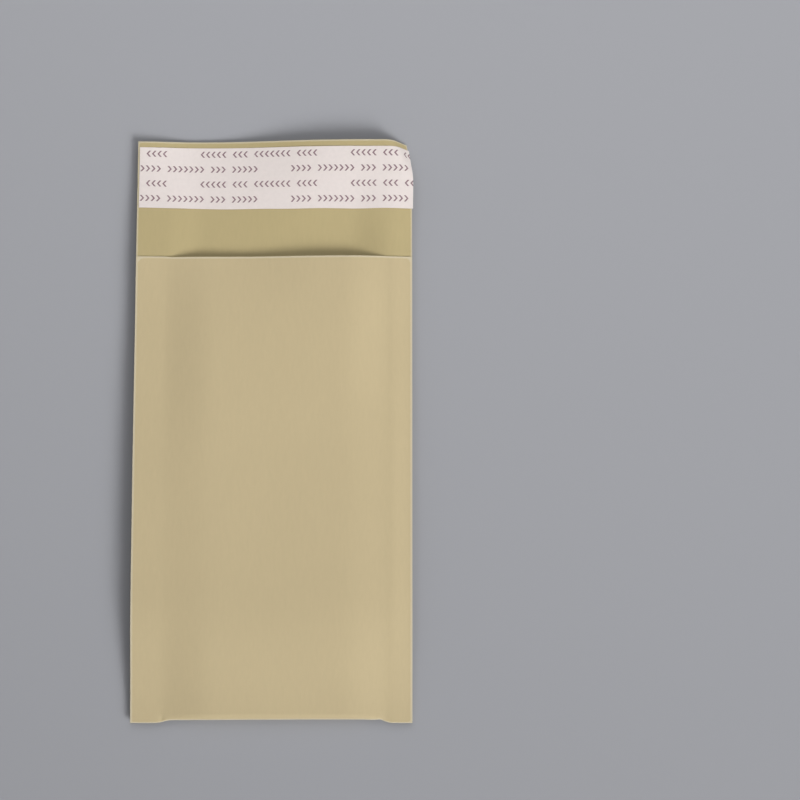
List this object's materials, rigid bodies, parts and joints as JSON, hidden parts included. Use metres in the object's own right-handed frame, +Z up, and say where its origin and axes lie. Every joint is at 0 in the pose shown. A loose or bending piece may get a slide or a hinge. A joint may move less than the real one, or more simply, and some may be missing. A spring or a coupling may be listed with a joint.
{
  "type": "padded envelope",
  "caption": "Flat kraft paper mailing envelope with a bubble film lining, sealed sides and an open flap carrying a peel-off adhesive strip.",
  "frame": {"origin": "centre of the footprint, on the surface the envelope lies on", "axes": "+X across the width, +Y from the bottom fold to the flap's edge, +Z up, with the mouth and the flap's glued side facing up"},
  "size_m": [0.1107, 0.2315, 0.0084],
  "materials": {
    "kraft_paper": "uncoated machine-finished kraft paper, matt, with faint fibre mottle",
    "bubble_film": "clear polyethylene bubble film",
    "glue_film": "clear pressure-sensitive hot-melt glue",
    "liner_paper": "silicone-coated white glassine paper, satin, printed with small chevrons"
  },
  "bodies": {
    "root": {"kraft_outer": "kraft_paper", "bubble_lining": "bubble_film", "adhesive_strip": "glue_film", "release_liner": "liner_paper"}
  },
  "joints": []
}
